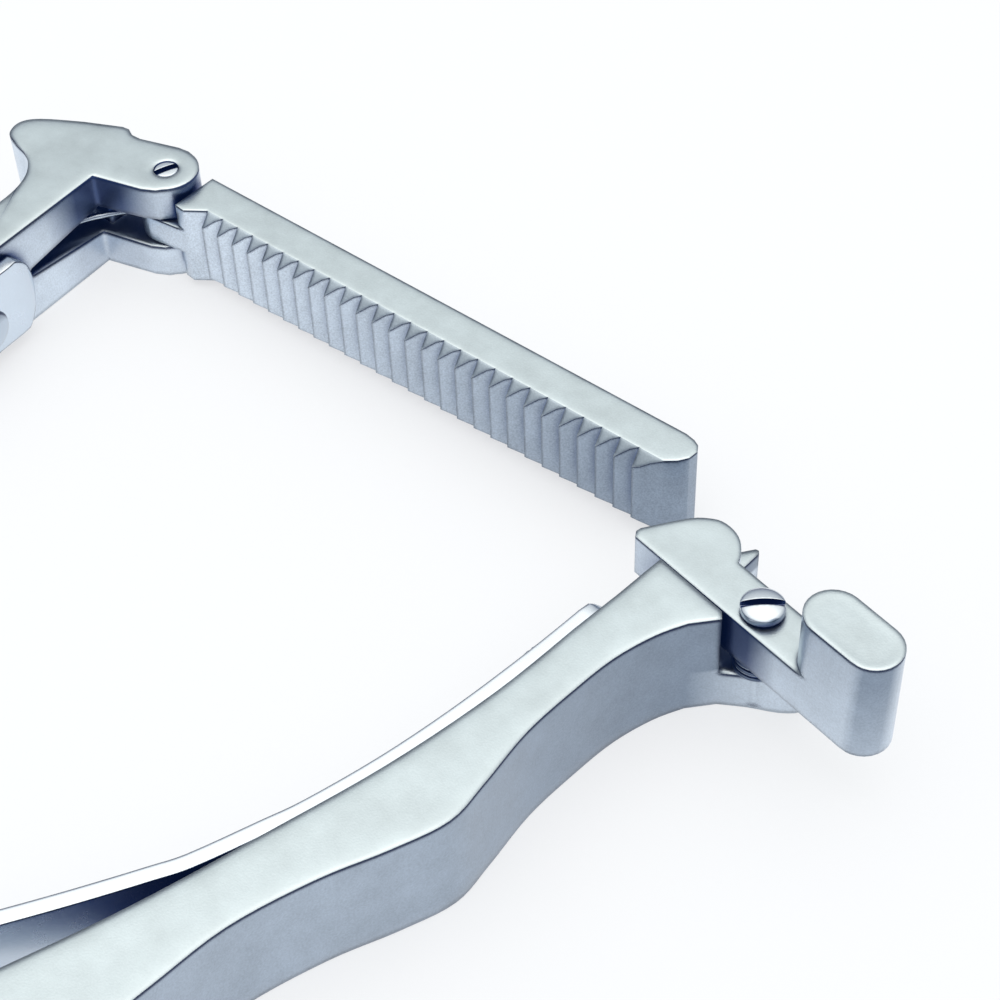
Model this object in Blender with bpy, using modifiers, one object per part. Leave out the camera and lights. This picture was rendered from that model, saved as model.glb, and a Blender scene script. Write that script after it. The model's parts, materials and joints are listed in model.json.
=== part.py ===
"""Bone reduction forceps: two crossed halves on a joint screw, a swinging ratchet bar and a release lever.

The forceps lie flat, jaws towards -Y and handles towards +Y, with the joint screw's axis on the Z axis.
The halves stand open as far as the end of the ratchet bar. Lengths are in millimetres until MM turns them
into metres.
"""
import math

import bmesh
import bpy
from mathutils import Matrix, Vector

MM = 0.001

# Shared clearances
GAP = 0.3
SCREW_GAP = 0.2

# The two halves
THICKNESS = 10.7
JOINT_RADIUS = 9.5
LAP_HEIGHT = THICKNESS / 2
OPEN_HALF_ANGLE = math.radians(11.0)
EDGE_ROUNDING = 0.35
OUTLINE_STEPS = 5
JAW_TIP_THICKNESS = 3.6
JAW_TAPER_START = 18.0
JAW_LENGTH = 70.0

# Joint screw
JOINT_HEAD_RADIUS = 4.2
JOINT_HEAD_DEPTH = 2.2
JOINT_SHANK_RADIUS = 2.8

# Ratchet bar: one tooth pitch sets its whole profile
PITCH = 2.0
TOOTH_DEPTH = 0.651 * PITCH
TOOTH_UNDERCUT = 0.087 * PITCH
TOOTH_COUNT = 27
BAR_BACK = 1.893 * PITCH
BAR_SHOULDER = -2.60 * PITCH
BAR_BOTTOM = 0.7
BAR_TOP = THICKNESS - 1.2
BAR_PIVOT = (-31.9, 145.1)
BAR_ORIGIN = (-23.2, 144.0)

# Fork in the end of the ratchet side's handle
FORK_LOW = 3.6
FORK_HIGH = 7.1
FORK_BACK = -37.2
FORK_MOUTH_Y = 141.5
SLOT_END_Y = 130.4
SLOT_END_GAP = 0.9
SLOT_DEPTH_X = -39.6
EAR_RADIUS = 3.2
BAR_SCREW_RADIUS = 1.05
TONGUE_LOW = FORK_LOW + GAP
TONGUE_HIGH = FORK_HIGH - GAP
HUB_RADIUS = 3.1
SPRING_WIRE = 0.35

# Lock end of the other handle
FLOOR = 4.0
TOOTH_TOP = 6.0
LEVER_LOW = 6.3
LEVER_ANGLE = math.radians(-11.8)
LEVER_PIVOT = (46.26, 134.38)
LEVER_EDGE = 2.15
LEVER_BACK = 2.14
LEVER_WALL_GAP = 0.25
KNOB_TOP = THICKNESS + 6.0
KNOB_RADIUS = 2.42
KNOB_START = 4.7
KNOB_END = 13.65
LEVER_SHOULDER_RADIUS = 1.1
LEVER_THREAD_RADIUS = 0.9
LEVER_HEAD_RADIUS = 1.83
LEVER_HEAD_LOW = THICKNESS + 0.3
LEVER_HEAD_TOP = LEVER_HEAD_LOW + 0.95
SPACER_RADIUS = 1.6
LOCK_TOOTH_TIP = (40.2, 143.1)

# Spring of the release lever: wire, and its two feet along and across the lever from the pivot
LEVER_WIRE = 0.2
SPRING_FOOT = (-3.15, 0.6)
SPRING_CATCH = (3.3, 0.1)
CATCH_RADIUS = 1.0

# Handle springs
LEAF_THICKNESS = 1.3
LEAF_LOW = 1.2
LEAF_HIGH = THICKNESS - LEAF_LOW
LEAF_END_Y = 129.6
LEAF_END_RADIUS = 5.0
LEAF_END_TAPER = 3.6
LEAF_SPLIT_Y = 90.0
LEAF_SPLIT_GAP = 0.3
LEAF_SCREW_Y = 121.0
LEAF_SCREW_HEAD = 2.2
LEAF_SCREW_RISE = 1.4
LEAF_SCREW_SHANK = 0.95


def material(name, colour, roughness):
    """One plain steel finish."""
    steel = bpy.data.materials.new(name)
    steel.use_nodes = True
    shader = steel.node_tree.nodes["Principled BSDF"]
    shader.inputs["Base Color"].default_value = (*colour, 1.0)
    shader.inputs["Metallic"].default_value = 1.0
    shader.inputs["Roughness"].default_value = roughness
    return steel


def new_collection(name):
    collection = bpy.data.collections.new(name)
    bpy.context.scene.collection.children.link(collection)
    return collection


def turned(point, angle, centre=(0.0, 0.0)):
    """The point turned counter-clockwise about the centre, in plan."""
    dx = point[0] - centre[0]
    dy = point[1] - centre[1]
    x = centre[0] + dx * math.cos(angle) - dy * math.sin(angle)
    y = centre[1] + dx * math.sin(angle) + dy * math.cos(angle)
    return (x, y)


def mirrored(points):
    """The same run of points on the other side of the middle plane, in the same order."""
    return [(-point[0], *point[1:]) for point in points]


def arc(centre, radius, start, end, steps):
    """Points on an arc, with the angles in degrees counter-clockwise from +X."""
    points = []
    for step in range(steps + 1):
        angle = math.radians(start + (end - start) * step / steps)
        points.append((centre[0] + radius * math.cos(angle), centre[1] + radius * math.sin(angle)))
    return points


def smooth(stations, steps=OUTLINE_STEPS):
    """A smooth open run of points through the stations."""
    padded = [stations[0], *stations, stations[-1]]
    points = []
    for index in range(len(stations) - 1):
        a, b, c, d = (Vector(padded[index + k]) for k in range(4))
        for step in range(steps):
            t = step / steps
            pull = (2 * b) + (c - a) * t + (2 * a - 5 * b + 4 * c - d) * t * t
            pull += (3 * b - a - 3 * c + d) * t * t * t
            points.append((pull / 2).to_tuple())
    points.append(tuple(stations[-1]))
    return points


def finish(obj, steel, collection, sharp=math.radians(30)):
    """Puts the object in its collection with its material and shading."""
    for old in list(obj.users_collection):
        old.objects.unlink(obj)
    collection.objects.link(obj)
    obj.data.materials.clear()
    obj.data.materials.append(steel)
    obj.data.shade_smooth()
    obj.data.set_sharp_from_angle(angle=sharp)
    return obj


def curve_to_mesh(curve_object, name):
    """A welded mesh object in the place of a curve object."""
    bpy.context.view_layer.update()
    depsgraph = bpy.context.evaluated_depsgraph_get()
    mesh = bpy.data.meshes.new_from_object(curve_object.evaluated_get(depsgraph))
    welded = bmesh.new()
    welded.from_mesh(mesh)
    bmesh.ops.remove_doubles(welded, verts=welded.verts, dist=0.000001)
    bmesh.ops.recalc_face_normals(welded, faces=welded.faces)
    welded.to_mesh(mesh)
    welded.free()
    place = curve_object.matrix_world.copy()
    bpy.data.objects.remove(curve_object)
    mesh.name = name
    obj = bpy.data.objects.new(name, mesh)
    obj.matrix_world = place
    bpy.context.scene.collection.objects.link(obj)
    return obj


def plate(name, outline, low, high, origin=(0.0, 0.0)):
    """A flat outline with a thickness, as a mesh whose own origin is on the given axis."""
    curve = bpy.data.curves.new(name, "CURVE")
    curve.dimensions = "2D"
    curve.fill_mode = "BOTH"
    curve.extrude = (high - low) / 2 * MM
    spline = curve.splines.new("POLY")
    spline.points.add(len(outline) - 1)
    for point, place in zip(spline.points, outline):
        point.co = ((place[0] - origin[0]) * MM, (place[1] - origin[1]) * MM, 0.0, 1.0)
    spline.use_cyclic_u = True
    obj = bpy.data.objects.new(name, curve)
    obj.location = (origin[0] * MM, origin[1] * MM, (low + high) / 2 * MM)
    bpy.context.scene.collection.objects.link(obj)
    return curve_to_mesh(obj, name)


def side_plate(name, outline, low, high):
    """An outline drawn in Y and Z, with its thickness along X."""
    obj = plate(name, outline, -(high - low) / 2, (high - low) / 2)
    turn = Matrix(((0, 0, 1, 0), (1, 0, 0, 0), (0, 1, 0, 0), (0, 0, 0, 1)))
    obj.matrix_world = Matrix.Translation(((low + high) / 2 * MM, 0, 0)) @ turn
    return obj


def round_bar(name, centre, radius, low, high, sides=32):
    """A cylinder that stands on its own axis."""
    bpy.ops.mesh.primitive_cylinder_add(
        vertices=sides, radius=radius * MM, depth=(high - low) * MM,
        location=(centre[0] * MM, centre[1] * MM, (low + high) / 2 * MM))
    obj = bpy.context.object
    obj.name = name
    return obj


def block(name, centre, size, angle=0.0):
    """A box with its middle at the centre, turned in plan."""
    bpy.ops.mesh.primitive_cube_add(size=1.0, location=tuple(value * MM for value in centre))
    obj = bpy.context.object
    obj.name = name
    obj.scale = tuple(value * MM for value in size)
    obj.rotation_euler.z = angle
    bpy.ops.object.transform_apply(location=False, rotation=False, scale=True)
    return obj


def boolean(obj, tool, operation):
    """Leaves the tool in the cutters' collection and gives the object the operation."""
    for old in list(tool.users_collection):
        old.objects.unlink(tool)
    CUTTERS.objects.link(tool)
    tool.hide_render = True
    tool.display_type = "WIRE"
    modifier = obj.modifiers.new(operation.title(), "BOOLEAN")
    modifier.operation = operation
    modifier.solver = "EXACT"
    modifier.object = tool
    return modifier


def cut(obj, tool):
    return boolean(obj, tool, "DIFFERENCE")


def join(obj, tool):
    return boolean(obj, tool, "UNION")


def soften(obj, width, angle=40):
    """Small rounding on the sharp edges."""
    bevel = obj.modifiers.new("Bevel", "BEVEL")
    bevel.width = width * MM
    bevel.segments = 1
    bevel.limit_method = "ANGLE"
    bevel.angle_limit = math.radians(angle)
    bevel.use_clamp_overlap = True
    return bevel


def joint_edge(degrees):
    """The point on the joint's round edge at the angle."""
    angle = math.radians(degrees)
    return (JOINT_RADIUS * math.cos(angle), JOINT_RADIUS * math.sin(angle))


def grip_inner():
    """Inner edge of the lock side's handle, from the joint to the foot of its end."""
    return [joint_edge(74.8), (5.4, 13.8), (7.3, 19.5), (9.3, 28.0), (13.0, 44.0), (17.8, 60.0), (23.6, 74.8),
            (27.0, 84.0), (30.1, 94.3), (33.0, 104.7), (34.9, 115.0), (35.7, 124.0)]


def grip_outer():
    """Outer, waved edge of the same handle, from its end down to the joint."""
    return [(39.5, 119.0), (39.25, 113.6), (39.8, 108.0), (40.0, 103.8), (38.3, 99.2), (35.8, 93.8),
            (33.6, 87.0), (32.8, 80.0), (31.9, 73.0), (28.6, 65.0), (24.4, 55.0), (20.6, 43.0), (16.9, 30.0),
            (14.1, 19.0), (11.4, 10.6), joint_edge(29.9)]


def jaw(half_turn):
    """The lock side's jaw, from its inner root round the tip to its outer root, open by the given angle.

    The stations are in millimetres across the jaw and in shares of its length along it.
    """
    inner = [(-2.7, 0.207), (-6.2, 0.321), (-8.7, 0.457), (-8.9, 0.6), (-6.9, 0.757), (-3.3, 0.9), (-0.25, 1.0)]
    outer = [(-0.9, 0.999), (-5.2, 0.936), (-9.9, 0.814), (-13.5, 0.671), (-15.2, 0.514), (-14.7, 0.371),
             (-12.0, 0.236), (-9.8, 0.15)]
    inner_run = [joint_edge(-95.0)] + [(across, -share * JAW_LENGTH) for across, share in inner]
    outer_run = [(across, -share * JAW_LENGTH) for across, share in outer] + [joint_edge(-139.3)]
    return [turned(point, half_turn) for point in smooth(inner_run) + smooth(outer_run)]


def lower_outline():
    """Joint and jaw of the lock side, clockwise from the handle's outer root to its inner root."""
    centre = (0.0, 0.0)
    right = arc(centre, JOINT_RADIUS, 24, -99, 16)
    left = arc(centre, JOINT_RADIUS, -146, -279, 16)
    return right + jaw(-OPEN_HALF_ANGLE)[1:-1] + left


def lap(side_name, upper):
    """Cutter that takes one half's metal out of the other half's layer of the joint."""
    if upper:
        return round_bar(side_name + "_lap", (0, 0), JOINT_RADIUS + GAP, LAP_HEIGHT - GAP / 2,
                         THICKNESS + 2, 64)
    return round_bar(side_name + "_lap", (0, 0), JOINT_RADIUS + GAP, -2, LAP_HEIGHT + GAP / 2, 64)


def taper_jaw(obj, side_name):
    """Thins the jaw towards its tip, above and below."""
    rise = (THICKNESS - JAW_TIP_THICKNESS) / 2
    far = -(JAW_LENGTH + 4)
    start = -JAW_TAPER_START
    top = [(start, THICKNESS), (far, THICKNESS - rise), (far, THICKNESS + 2), (start, THICKNESS + 2)]
    bottom = [(start, 0.0), (start, -2.0), (far, -2.0), (far, rise)]
    cut(obj, side_plate(side_name + "_taper_top", top, -40, 40))
    cut(obj, side_plate(side_name + "_taper_bottom", bottom, -40, 40))


def fork_end():
    """End of the ratchet side's handle: inner corner, ears, step and finger lobe, anticlockwise from inside."""
    ears = [(-36.85, 139.95), (-33.2, 140.95), (-31.6, 141.4), (-30.3, 142.1),
            *arc(BAR_PIVOT, EAR_RADIUS, -52, 75, 12)]
    step = [(-32.1, 148.4), (-33.3, 148.25), (-37.4, 146.9), (-38.5, 146.85), (-39.4, 147.3), (-40.2, 147.2)]
    lobe = smooth([(-43.9, 145.4), (-47.7, 143.1), (-49.0, 141.4), (-48.5, 139.6), (-46.9, 138.8),
                   (-44.6, 138.2), (-42.9, 137.0), (-41.7, 135.2), (-41.0, 132.4), (-40.7, 127.0),
                   (-39.5, 119.0)])
    return ears + step + lobe


def ratchet_side_half(steel):
    """Handle with the fork, upper half of the joint and the +X jaw."""
    inner = mirrored(smooth(grip_inner()))
    outer = mirrored(smooth(grip_outer()))
    outline = inner + fork_end()[:-1] + outer + mirrored(lower_outline())[1:-1]
    half = plate("ratchet_side_half", outline, 0, THICKNESS)
    taper_jaw(half, "ratchet_side")
    cut(half, lap("ratchet_side", False))
    soften(half, EDGE_ROUNDING)
    middle = (FORK_LOW + FORK_HIGH) / 2
    open_half = (FORK_HIGH - FORK_LOW) / 2
    slot = [(BAR_PIVOT[1] + 6, FORK_LOW), (BAR_PIVOT[1] + 6, FORK_HIGH), (FORK_MOUTH_Y, FORK_HIGH)]
    slot += arc((SLOT_END_Y, middle), SLOT_END_GAP / 2, 90, 270, 6)
    slot += [(FORK_MOUTH_Y, middle - open_half)]
    cut(half, side_plate("fork_slot", slot, FORK_BACK, BAR_PIVOT[0] + 8))
    root = [(FORK_MOUTH_Y, FORK_HIGH)]
    root += arc((SLOT_END_Y, middle), SLOT_END_GAP / 2, 90, 270, 6)
    root += [(FORK_MOUTH_Y, FORK_LOW)]
    cut(half, side_plate("fork_slot_root", root, SLOT_DEPTH_X, FORK_BACK + 1))
    cut(half, round_bar("bar_screw_hole", BAR_PIVOT, BAR_SCREW_RADIUS + SCREW_GAP, 0.8, THICKNESS + 1, 24))
    head_low = THICKNESS - JOINT_HEAD_DEPTH
    cut(half, round_bar("joint_head_seat", (0, 0), JOINT_HEAD_RADIUS + GAP, head_low - GAP, THICKNESS + 1))
    cut(half, round_bar("joint_hole_upper", (0, 0), JOINT_SHANK_RADIUS + SCREW_GAP, -1, THICKNESS, 32))
    return finish(half, steel, PARTS)


def lock_end():
    """End of the lock side's handle and its lower plate, anticlockwise from the outer corner."""
    x, y = LOCK_TOOTH_TIP
    plate_end = smooth([(44.2, 131.8), (46.4, 133.1), (48.7, 134.2), (50.1, 135.4), (50.5, 136.9),
                        (49.3, 138.6)], 3)
    tooth = [(43.2, 139.6), (x - 0.1, 140.0), (x, y - 0.1), (x - 0.2, y + 0.15), (x - 0.5, y + 0.1),
             (x - 2.7, 140.3)]
    inner = smooth([(37.1, 137.4), (36.6, 134.0), (36.2, 129.0)], 3)
    return plate_end, tooth, inner


def cut_line(offset):
    """Two points on the wall that the lever's straight edge rests on, moved out by the offset."""
    along = Vector((math.cos(LEVER_ANGLE), math.sin(LEVER_ANGLE)))
    across = Vector((-along.y, along.x))
    middle = Vector(LEVER_PIVOT) - across * (LEVER_EDGE + offset)
    return (middle - along * 14).to_tuple(), (middle + along * 14).to_tuple()


def lock_side_half(steel):
    """Handle with the slotted lock end, lower half of the joint and the -X jaw."""
    plate_end, tooth, inner_end = lock_end()
    outer = smooth([(42.4, 129.8), (41.1, 127.2), (40.0, 123.4)] + grip_outer())
    inner = smooth(grip_inner())
    end = list(reversed(inner_end)) + list(reversed(tooth)) + list(reversed(plate_end))
    outline = inner + end + outer + lower_outline()[1:-1]
    half = plate("lock_side_half", outline, 0, THICKNESS)
    taper_jaw(half, "lock_side")
    cut(half, lap("lock_side", True))
    wall_left, wall_right = cut_line(LEVER_WALL_GAP)
    corner = [(Vector(wall_left).lerp(Vector(wall_right), 0.425)).to_tuple(), (44.5, 131.4), (46.0, 129.0)]
    above = [wall_left, *corner, (60.0, 129.0), (60.0, 146.0), (34.0, 149.0)]
    cut(half, plate("lever_slot", above, TOOTH_TOP, THICKNESS + 2))
    behind_tooth = [wall_left, *corner, (60.0, 129.0), (60.0, 141.0), (45.0, 142.0), (40.8, 139.9), (37.6, 139.7),
                    (35.0, 140.5), (32.0, 139.0)]
    cut(half, plate("lever_slot_floor", behind_tooth, FLOOR, TOOTH_TOP + 0.5))
    soften(half, EDGE_ROUNDING)
    cut(half, round_bar("lever_thread_hole", LEVER_PIVOT, LEVER_THREAD_RADIUS + SCREW_GAP, 0.7, FLOOR + 1, 16))
    foot = lever_point(*SPRING_FOOT)
    cut(half, round_bar("spring_foot_hole", foot, LEVER_WIRE + SCREW_GAP, FLOOR - 1.5, FLOOR + 1, 12))
    cut(half, round_bar("joint_hole_lower", (0, 0), JOINT_SHANK_RADIUS + SCREW_GAP, -1, THICKNESS, 32))
    return finish(half, steel, PARTS)


def nose():
    """Rounded free end of the bar, from the last tooth's tip to the back edge, in pitches."""
    return [(25.41, -0.53), (25.78, -0.29), (26.27, -0.05), (26.77, 0.36), (27.06, 0.79), (27.11, 1.30),
            (26.91, 1.63), (26.60, 1.79), (26.10, 1.893)]


def bar_outline():
    """Toothed edge, nose and back of the bar, in plan."""
    tooth = TOOTH_DEPTH / PITCH
    lean = TOOTH_UNDERCUT / PITCH
    points = [(BAR_SHOULDER / PITCH, 0.62), (BAR_SHOULDER / PITCH, -tooth), (-2.0, -0.72)]
    for index in range(-1, TOOTH_COUNT - 1):
        points += [(index, 0.0), (index + lean, -tooth)]
        if index < TOOTH_COUNT - 2:
            points.append((index + 0.62, -0.31 * tooth))
    points += nose()
    points.append((BAR_SHOULDER / PITCH, BAR_BACK / PITCH))
    return [(BAR_ORIGIN[0] + s * PITCH, BAR_ORIGIN[1] + t * PITCH) for s, t in points]


def ratchet_bar(steel):
    """Bar with its teeth, their chamfered ends, and the thinner tongue in the fork."""
    bar = plate("ratchet_bar", bar_outline(), BAR_BOTTOM, BAR_TOP, BAR_PIVOT)
    valley = BAR_ORIGIN[1] - 0.03
    slope = 1.6 * TOOTH_DEPTH
    top = [(valley, BAR_TOP), (valley - slope, BAR_TOP - slope), (valley - slope, BAR_TOP + 1),
           (valley, BAR_TOP + 1)]
    bottom = [(valley, BAR_BOTTOM), (valley, BAR_BOTTOM - 1), (valley - slope, BAR_BOTTOM - 1),
              (valley - slope, BAR_BOTTOM + slope)]
    end = BAR_ORIGIN[0] + (TOOTH_COUNT - 1) * PITCH + 4
    start = BAR_ORIGIN[0] - 1.05 * PITCH
    cut(bar, side_plate("teeth_chamfer_top", top, start, end))
    cut(bar, side_plate("teeth_chamfer_bottom", bottom, start, end))
    shoulder_x = BAR_ORIGIN[0] + BAR_SHOULDER
    low_y = BAR_PIVOT[1] - HUB_RADIUS
    high_y = BAR_PIVOT[1] + HUB_RADIUS
    tongue = [(shoulder_x + 1, low_y + 0.6), (shoulder_x + 1, high_y - 0.5), (BAR_PIVOT[0], high_y)]
    tongue += arc(BAR_PIVOT, HUB_RADIUS, 90, 270, 16)[1:]
    join(bar, plate("tongue", tongue, TONGUE_LOW, TONGUE_HIGH))
    hole = round_bar("bar_pivot_hole", BAR_PIVOT, BAR_SCREW_RADIUS + SCREW_GAP, 0, THICKNESS, 24)
    cut(bar, hole)
    return finish(bar, steel, PARTS)


def slotted_screw(name, centre, profile, slot_width, slot_depth, slot_angle, steel, sides=32):
    """A turned screw, described from the top of its head down, with a screwdriver slot."""
    mesh = bpy.data.meshes.new(name)
    obj = bpy.data.objects.new(name, mesh)
    bpy.context.scene.collection.objects.link(obj)
    edges = [(index, index + 1) for index in range(len(profile) - 1)]
    mesh.from_pydata([(radius * MM, 0.0, height * MM) for radius, height in profile], edges, [])
    obj.location = (centre[0] * MM, centre[1] * MM, 0.0)
    turn = obj.modifiers.new("Turn", "SCREW")
    turn.steps = sides
    turn.render_steps = sides
    turn.use_merge_vertices = True
    turn.merge_threshold = 0.000001
    top = profile[0][1]
    widest = max(radius for radius, height in profile)
    slot = block(name + "_slot", (centre[0], centre[1], top), (widest * 3, slot_width, slot_depth * 2),
                 slot_angle)
    cut(obj, slot)
    return finish(obj, steel, PARTS)


def joint_screw(steel):
    top = THICKNESS + 0.5
    head_low = THICKNESS - JOINT_HEAD_DEPTH
    profile = [(0, top), (JOINT_HEAD_RADIUS - 0.5, top), (JOINT_HEAD_RADIUS, THICKNESS),
               (JOINT_HEAD_RADIUS, head_low), (JOINT_SHANK_RADIUS, head_low), (JOINT_SHANK_RADIUS, 0), (0, 0)]
    return slotted_screw("joint_screw", (0, 0), profile, 1.0, 1.1, math.radians(35), steel, 40)


def ratchet_bar_screw(steel):
    radius = BAR_SCREW_RADIUS
    profile = [(0, THICKNESS), (radius, THICKNESS), (radius, 0.8 + GAP), (0, 0.8 + GAP)]
    return slotted_screw("ratchet_bar_screw", BAR_PIVOT, profile, 0.55, 0.5, math.radians(70), steel, 24)


def lever_screw(steel):
    head = LEVER_HEAD_RADIUS
    shoulder = LEVER_SHOULDER_RADIUS
    thread = LEVER_THREAD_RADIUS
    profile = [(0, LEVER_HEAD_TOP), (head - 0.12, LEVER_HEAD_TOP), (head, LEVER_HEAD_TOP - 0.12),
               (head, LEVER_HEAD_LOW), (shoulder, LEVER_HEAD_LOW), (shoulder, FLOOR + GAP),
               (thread, FLOOR + GAP), (thread, 0.7 + GAP), (0, 0.7 + GAP)]
    return slotted_screw("lever_screw", LEVER_PIVOT, profile, 0.45, 0.4, math.radians(44), steel)


def lever_point(along, across):
    """A point of the lever, measured from its pivot along its straight edge and across it."""
    return turned((LEVER_PIVOT[0] + along, LEVER_PIVOT[1] + across), LEVER_ANGLE, LEVER_PIVOT)


def release_lever(steel):
    """Hatchet head, shank and raised thumb knob."""
    head = smooth([(-13.0, -1.4), (-11.3, 2.3), (-10.3, 3.55), (-9.3, 4.2), (-8.0, 4.28), (-6.8, 3.9),
                   (-5.7, 3.0), (-5.1, LEVER_BACK)], 3)
    middle = KNOB_RADIUS - LEVER_EDGE
    first = KNOB_START + KNOB_RADIUS
    last = KNOB_END - KNOB_RADIUS
    near_end = arc((first, middle), KNOB_RADIUS, 270, 90, 14)
    far_end = arc((last, middle), KNOB_RADIUS, 90, -90, 14)
    shape = [(-12.6, -LEVER_EDGE), (-13.0, -1.9), *head, *near_end[-4:], *far_end]
    outline = [lever_point(*point) for point in shape]
    lever = plate("release_lever", outline, LEVER_LOW, KNOB_TOP, LEVER_PIVOT)
    beside_knob = [(-16, -6), (first, -6), *near_end, (first, 8), (-16, 8)]
    above = [lever_point(*point) for point in beside_knob]
    cut(lever, plate("above_shank", above, THICKNESS, KNOB_TOP + 1, LEVER_PIVOT))
    soften(lever, EDGE_ROUNDING * 0.6)
    hole = round_bar("lever_hole", LEVER_PIVOT, LEVER_SHOULDER_RADIUS + SCREW_GAP, 0, THICKNESS + 1, 24)
    cut(lever, hole)
    catch = lever_point(*SPRING_CATCH)
    cut(lever, round_bar("spring_catch_hole", catch, CATCH_RADIUS, 0, LEVER_LOW + 1.5, 16))
    return finish(lever, steel, PARTS)


def lever_spacer(steel):
    low = FLOOR + GAP
    high = LEVER_LOW - GAP
    outer = round_bar("lever_spacer", LEVER_PIVOT, SPACER_RADIUS, low, high, 24)
    cut(outer, round_bar("lever_spacer_hole", LEVER_PIVOT, LEVER_SHOULDER_RADIUS + SCREW_GAP, 0, THICKNESS, 24))
    return finish(outer, steel, PARTS)


def wire(name, route, radius, steel, origin):
    """A round wire along the route, with closed ends."""
    curve = bpy.data.curves.new(name, "CURVE")
    curve.dimensions = "3D"
    curve.bevel_depth = radius * MM
    curve.bevel_resolution = 1
    curve.use_fill_caps = True
    spline = curve.splines.new("POLY")
    spline.points.add(len(route) - 1)
    for point, place in zip(spline.points, route):
        x, y, z = place
        point.co = ((x - origin[0]) * MM, (y - origin[1]) * MM, z * MM, 1.0)
    obj = bpy.data.objects.new(name, curve)
    obj.location = (origin[0] * MM, origin[1] * MM, 0.0)
    bpy.context.scene.collection.objects.link(obj)
    return finish(curve_to_mesh(obj, name), steel, PARTS)


def lever_spring(steel):
    """Torsion spring round the bush: one leg stands in the slot floor, the other in the lever."""
    radius = SPACER_RADIUS + SCREW_GAP + LEVER_WIRE
    low = FLOOR + 0.25 + LEVER_WIRE
    high = LEVER_LOW - 0.25 - LEVER_WIRE
    leg = (SPRING_CATCH[0], SPRING_CATCH[1] - 0.65)
    first = math.atan2(SPRING_FOOT[1], SPRING_FOOT[0]) + math.acos(radius / math.hypot(*SPRING_FOOT))
    last = math.atan2(leg[1], leg[0]) - math.acos(radius / math.hypot(*leg)) + 3 * math.tau
    steps = 40
    foot = lever_point(*SPRING_FOOT)
    route = [(*foot, FLOOR - 1.2), (*foot, low)]
    for step in range(steps + 1):
        angle = first + (last - first) * step / steps
        place = lever_point(radius * math.cos(angle), radius * math.sin(angle))
        route.append((*place, low + (high - low) * step / steps))
    catch = lever_point(*leg)
    route += [(*catch, high), (*catch, LEVER_LOW + 1.1)]
    return wire("lever_spring", route, LEVER_WIRE, steel, LEVER_PIVOT)


def ratchet_bar_spring(steel):
    """Wire that lies deep in the fork's tapered slot and presses on the tongue's round heel."""
    middle = (FORK_LOW + FORK_HIGH) / 2
    reach = HUB_RADIUS + GAP + SPRING_WIRE
    heel = [(BAR_PIVOT[0] + reach * math.cos(angle), BAR_PIVOT[1] + reach * math.sin(angle))
            for angle in (math.radians(212), math.radians(196), math.radians(180))]
    route = smooth([(-38.8, SLOT_END_Y + 0.9), (-38.7, 134.5), (-38.3, 138.3), (-36.3, 141.6), *heel], 3)
    return wire("ratchet_bar_spring", [(x, y, middle) for x, y in route], SPRING_WIRE, steel, (0.0, 0.0))


def offset_run(stations, distance):
    """The run moved sideways, to the left of its direction."""
    moved = []
    for index, point in enumerate(stations):
        before = Vector(stations[max(index - 1, 0)])
        after = Vector(stations[min(index + 1, len(stations) - 1)])
        along = (after - before).normalized()
        moved.append((point[0] - along.y * distance, point[1] + along.x * distance))
    return moved


def leaf_line():
    """Middle line of the lock side's whole leaf, from where the two leaves meet up to its end."""
    return smooth([(0.95, 47.4), (1.2, 49.8), (3.2, 53.5), (8.5, 61.0), (14.5, 70.0), (19.7, 78.0), (22.6, 82.6),
                   (25.4, 87.3), (26.9, 90.0), (29.0, 95.4), (30.3, 98.9), (32.0, 105.3), (33.25, 112.0),
                   (34.15, 119.0), (34.7, 125.0), (34.95, LEAF_END_Y)], 4)


def leaf_bend():
    """Point of the middle line where the free part of the leaf begins to swing, and the line's direction there."""
    line = leaf_line()
    upper = next(index for index, point in enumerate(line) if point[1] > LEAF_SPLIT_Y)
    first = Vector(line[upper - 1])
    second = Vector(line[upper])
    share = (LEAF_SPLIT_Y - first.y) / (second.y - first.y)
    return first.lerp(second, share), (second - first).normalized()


def leaf_root_middle():
    bend, along = leaf_bend()
    start = bend + along * LEAF_SPLIT_GAP / 2
    return [start.to_tuple()] + [point for point in leaf_line() if point[1] > start.y + LEAF_SPLIT_GAP]


def leaf_blade_middle():
    bend, along = leaf_bend()
    end = bend - along * LEAF_SPLIT_GAP / 2
    return [point for point in leaf_line() if point[1] < end.y - LEAF_SPLIT_GAP] + [end.to_tuple()]


def leaf_outline(middle):
    """Outline of a stretch of the leaf, which thins towards its end on the handle."""
    handle_side = offset_run(middle, -LEAF_THICKNESS / 2)
    free_side = []
    for point, near, far in zip(middle, handle_side, offset_run(middle, LEAF_THICKNESS / 2)):
        past = (point[1] - (LEAF_END_Y - LEAF_END_TAPER)) / LEAF_END_TAPER
        share = math.sqrt(1 - min(max(past, 0.0), 0.98) ** 2)
        free_side.append(Vector(near).lerp(Vector(far), share).to_tuple())
    return handle_side + list(reversed(free_side))


def leaf_screw_frame():
    """Place and direction of the leaf's screw: on the handle's inner face, pointing into the handle."""
    edge = smooth(grip_inner(), 6)
    nearest = min(range(1, len(edge) - 1), key=lambda index: abs(edge[index][1] - LEAF_SCREW_Y))
    along = (Vector(edge[nearest + 1]) - Vector(edge[nearest - 1])).normalized()
    return Vector(edge[nearest]), Vector((along.y, -along.x))


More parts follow.
